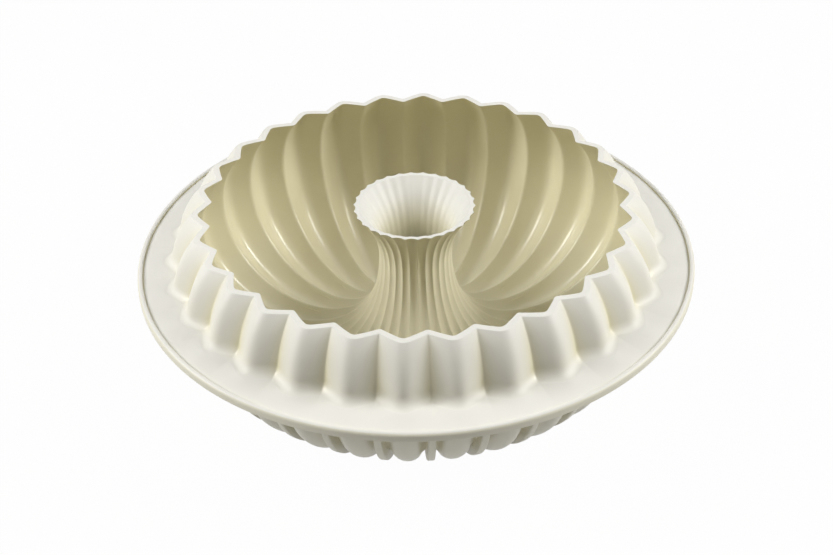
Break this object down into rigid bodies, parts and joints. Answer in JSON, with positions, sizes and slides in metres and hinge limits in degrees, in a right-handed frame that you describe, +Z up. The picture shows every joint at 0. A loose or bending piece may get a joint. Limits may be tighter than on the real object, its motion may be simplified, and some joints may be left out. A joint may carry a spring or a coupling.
{
  "type": "silicone cake mould",
  "caption": "Round fluted ring-cake mould in ivory silicone: pleated bowl with a flat collar, an open flared chimney in the middle and thin support ribs underneath.",
  "frame": {"origin": "on the table, under the middle of the mould", "axes": "+Z up along the chimney's axis, +X through a ridge of the flutes and the first support rib"},
  "size_m": [0.2608, 0.2608, 0.0848],
  "materials": {
    "silicone": "smooth satin ivory silicone"
  },
  "bodies": {
    "root": {"pleated_rim": "silicone", "collar": "silicone", "collar_lip": "silicone", "bowl_wall": "silicone", "bowl_floor": "silicone", "chimney": "silicone", "support_rib_01": "silicone", "support_rib_02": "silicone", "support_rib_03": "silicone", "support_rib_04": "silicone", "support_rib_05": "silicone", "support_rib_06": "silicone", "support_rib_07": "silicone", "support_rib_08": "silicone", "support_rib_09": "silicone", "support_rib_10": "silicone", "support_rib_11": "silicone", "support_rib_12": "silicone", "support_rib_13": "silicone", "support_rib_14": "silicone", "support_rib_15": "silicone", "support_rib_16": "silicone", "support_rib_17": "silicone", "support_rib_18": "silicone", "support_rib_19": "silicone", "support_rib_20": "silicone", "support_rib_21": "silicone", "support_rib_22": "silicone", "support_rib_23": "silicone", "support_rib_24": "silicone", "support_rib_25": "silicone", "support_rib_26": "silicone", "support_rib_27": "silicone", "support_rib_28": "silicone", "support_rib_29": "silicone", "support_rib_30": "silicone"}
  },
  "joints": []
}
